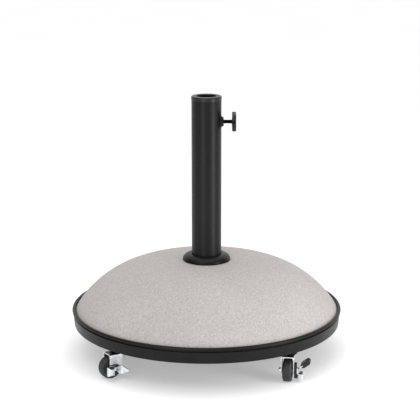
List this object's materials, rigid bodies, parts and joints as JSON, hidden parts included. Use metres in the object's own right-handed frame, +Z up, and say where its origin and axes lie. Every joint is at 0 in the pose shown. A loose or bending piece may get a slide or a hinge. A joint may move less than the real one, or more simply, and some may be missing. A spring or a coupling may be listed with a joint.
{
  "type": "parasol base",
  "caption": "Round domed concrete parasol base in a black tray, with an upright tube, clamp screw and braked swivel castors.",
  "frame": {"origin": "on the floor, under the middle of the upright tube", "axes": "+Z up along the tube; +X towards the clamp knob; -Y towards the front"},
  "size_m": [0.5488, 0.5488, 0.528],
  "materials": {
    "concrete": "cast concrete, fine light and dark speckle",
    "tray_plastic": "satin black moulded plastic",
    "tube_paint": "black powder coat, satin",
    "moulded_black": "black moulded plastic, fine grain",
    "guide_plastic": "black moulded plastic",
    "plain_steel": "bare hot-rolled steel",
    "black_steel": "blackened steel",
    "nylon": "natural nylon",
    "insert_brass": "plain",
    "zinc": "bright zinc plate",
    "ball_steel": "polished balls",
    "hub_plastic": "dark grey moulded nylon",
    "tyre_rubber": "black rubber"
  },
  "bodies": {
    "base": {"concrete_weight": "concrete", "rim_tray": "tray_plastic", "pole_tube": "tube_paint", "foot_plate": "plain_steel", "anchor_bars": "plain_steel", "flange_cover": "moulded_black", "tube_cap": "moulded_black", "lower_guide": "guide_plastic", "clamp_nut": "tube_paint", "castor_inserts": "insert_brass", "castor_screws": "zinc", "front_left_plate": "black_steel", "front_left_balls": "ball_steel", "front_left_kingpin": "zinc", "front_right_plate": "black_steel", "front_right_balls": "ball_steel", "front_right_kingpin": "zinc", "rear_right_plate": "black_steel", "rear_right_balls": "ball_steel", "rear_right_kingpin": "zinc", "rear_left_plate": "black_steel", "rear_left_balls": "ball_steel", "rear_left_kingpin": "zinc"},
    "front_left_swivel": {"front_left_race": "black_steel", "front_left_fork": "zinc", "front_left_axle": "zinc", "front_left_axle_nut": "zinc"},
    "front_left_wheel": {"front_left_hub": "hub_plastic", "front_left_tyre": "tyre_rubber"},
    "front_left_brake": {"front_left_brake_cam": "moulded_black", "front_left_brake_lever": "zinc"},
    "front_right_swivel": {"front_right_race": "black_steel", "front_right_fork": "zinc", "front_right_axle": "zinc", "front_right_axle_nut": "zinc"},
    "front_right_wheel": {"front_right_hub": "hub_plastic", "front_right_tyre": "tyre_rubber"},
    "front_right_brake": {"front_right_brake_cam": "moulded_black", "front_right_brake_lever": "zinc", "front_right_pedal_pad": "moulded_black"},
    "rear_right_swivel": {"rear_right_race": "black_steel", "rear_right_fork": "zinc", "rear_right_axle": "zinc", "rear_right_axle_nut": "zinc"},
    "rear_right_wheel": {"rear_right_hub": "hub_plastic", "rear_right_tyre": "tyre_rubber"},
    "rear_right_brake": {"rear_right_brake_cam": "moulded_black", "rear_right_brake_lever": "zinc", "rear_right_pedal_pad": "moulded_black"},
    "rear_left_swivel": {"rear_left_race": "black_steel", "rear_left_fork": "zinc", "rear_left_axle": "zinc", "rear_left_axle_nut": "zinc"},
    "rear_left_wheel": {"rear_left_hub": "hub_plastic", "rear_left_tyre": "tyre_rubber"},
    "rear_left_brake": {"rear_left_brake_cam": "moulded_black", "rear_left_brake_lever": "zinc"},
    "pad": {"pressure_pad": "nylon"},
    "screw": {"clamp_screw": "black_steel", "knob": "moulded_black"}
  },
  "joints": [
    {"name": "front_left_swivel_turn", "type": "hinge", "parent": "base", "child": "front_left_swivel", "pos_m": [-0.17117, -0.16102, 0.045], "axis": [0, 0, 1], "continuous": true},
    {"name": "front_left_wheel_roll", "type": "hinge", "parent": "front_left_swivel", "child": "front_left_wheel", "pos_m": [-0.18794, -0.17191, 0.0225], "axis": [0.5446, -0.8387, 0], "continuous": true},
    {"name": "front_left_brake_press", "type": "hinge", "parent": "front_left_swivel", "child": "front_left_brake", "pos_m": [-0.18794, -0.17191, 0.0225], "axis": [-0.5446, 0.8387, 0], "range_deg": [-90, 0]},
    {"name": "front_right_swivel_turn", "type": "hinge", "parent": "base", "child": "front_right_swivel", "pos_m": [0.16102, -0.17117, 0.045], "axis": [0, 0, 1], "continuous": true},
    {"name": "front_right_wheel_roll", "type": "hinge", "parent": "front_right_swivel", "child": "front_right_wheel", "pos_m": [0.15754, -0.19086, 0.0225], "axis": [0.9848, -0.1736, 0], "continuous": true},
    {"name": "front_right_brake_press", "type": "hinge", "parent": "front_right_swivel", "child": "front_right_brake", "pos_m": [0.15754, -0.19086, 0.0225], "axis": [-0.9848, 0.1736, 0], "range_deg": [0, 90]},
    {"name": "rear_right_swivel_turn", "type": "hinge", "parent": "base", "child": "rear_right_swivel", "pos_m": [0.17117, 0.16102, 0.045], "axis": [0, 0, 1], "continuous": true},
    {"name": "rear_right_wheel_roll", "type": "hinge", "parent": "rear_right_swivel", "child": "rear_right_wheel", "pos_m": [0.17634, 0.1417, 0.0225], "axis": [0.9659, 0.2588, 0], "continuous": true},
    {"name": "rear_right_brake_press", "type": "hinge", "parent": "rear_right_swivel", "child": "rear_right_brake", "pos_m": [0.17634, 0.1417, 0.0225], "axis": [-0.9659, -0.2588, 0], "range_deg": [0, 90]},
    {"name": "rear_left_swivel_turn", "type": "hinge", "parent": "base", "child": "rear_left_swivel", "pos_m": [-0.16102, 0.17117, 0.045], "axis": [0, 0, 1], "continuous": true},
    {"name": "rear_left_wheel_roll", "type": "hinge", "parent": "rear_left_swivel", "child": "rear_left_wheel", "pos_m": [-0.17041, 0.15351, 0.0225], "axis": [0.8829, -0.4695, 0], "continuous": true},
    {"name": "rear_left_brake_press", "type": "hinge", "parent": "rear_left_swivel", "child": "rear_left_brake", "pos_m": [-0.17041, 0.15351, 0.0225], "axis": [-0.8829, 0.4695, 0], "range_deg": [0, 90]},
    {"name": "screw_feed", "type": "slide", "parent": "base", "child": "pad", "axis": [-1, 0, 0], "range_m": [-0.0019, 0.0076]},
    {"name": "knob_turn", "type": "hinge", "parent": "pad", "child": "screw", "pos_m": [0.05, 0, 0.476], "axis": [-1, 0, 0], "range_deg": [-540, 2160]}
  ],
  "couplings": [
    {"joint": "screw_feed", "follows": "knob_turn", "m_per_rad": 0.00019894}
  ]
}
